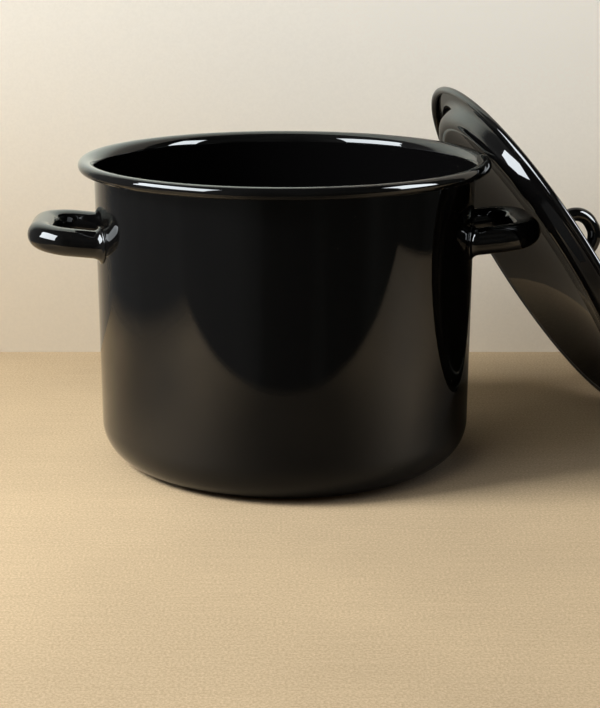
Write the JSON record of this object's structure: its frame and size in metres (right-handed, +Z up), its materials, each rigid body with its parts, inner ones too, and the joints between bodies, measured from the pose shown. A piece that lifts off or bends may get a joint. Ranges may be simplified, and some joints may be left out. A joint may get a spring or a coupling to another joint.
{
  "type": "water bath canner",
  "caption": "Tall enamelled stockpot with two loop handles, a leaning recessed lid with its own loop handle, and a lift-out wire jar rack.",
  "frame": {"origin": "centre of the pot's flat underside, on the surface that it stands on", "axes": "+Z up along the pot's axis; the two side handles lie on -X and +X; the lid leans on the +X side"},
  "size_m": [0.5495, 0.4281, 0.308],
  "materials": {
    "black_enamel": "glossy vitreous enamel",
    "lid_enamel": "glossy vitreous enamel",
    "rack_wire": "bright plated wire"
  },
  "bodies": {
    "pot": {"pot_body": "black_enamel", "left_handle": "black_enamel", "right_handle": "black_enamel"},
    "lid": {"lid_cover": "lid_enamel", "lid_handle": "lid_enamel"},
    "rack": {"rack_centre_ring": "rack_wire", "rack_inner_ring": "rack_wire", "rack_outer_ring": "rack_wire", "rack_lower_hoop": "rack_wire", "rack_top_hoop": "rack_wire", "rack_divider_1": "rack_wire", "rack_divider_2": "rack_wire", "rack_divider_3": "rack_wire", "rack_divider_4": "rack_wire", "rack_divider_5": "rack_wire", "rack_divider_6": "rack_wire", "rack_front_pivots": "rack_wire", "rack_rear_pivots": "rack_wire"},
    "rack_handle_front": {"rack_front_handle": "rack_wire"},
    "rack_handle_rear": {"rack_rear_handle": "rack_wire"}
  },
  "joints": [
    {"name": "lid_lift", "type": "slide", "parent": "pot", "child": "lid", "axis": [0, 0, 1], "range_m": [0, 0.3]},
    {"name": "rack_lift", "type": "slide", "parent": "pot", "child": "rack", "axis": [0, 0, 1], "range_m": [0, 0.33]},
    {"name": "front_handle_swing", "type": "hinge", "parent": "rack", "child": "rack_handle_front", "pos_m": [0, -0.14188, 0.066], "axis": [1, 0, 0], "range_deg": [0, 93]},
    {"name": "rear_handle_swing", "type": "hinge", "parent": "rack", "child": "rack_handle_rear", "pos_m": [0, 0.14188, 0.066], "axis": [-1, 0, 0], "range_deg": [0, 93]}
  ]
}
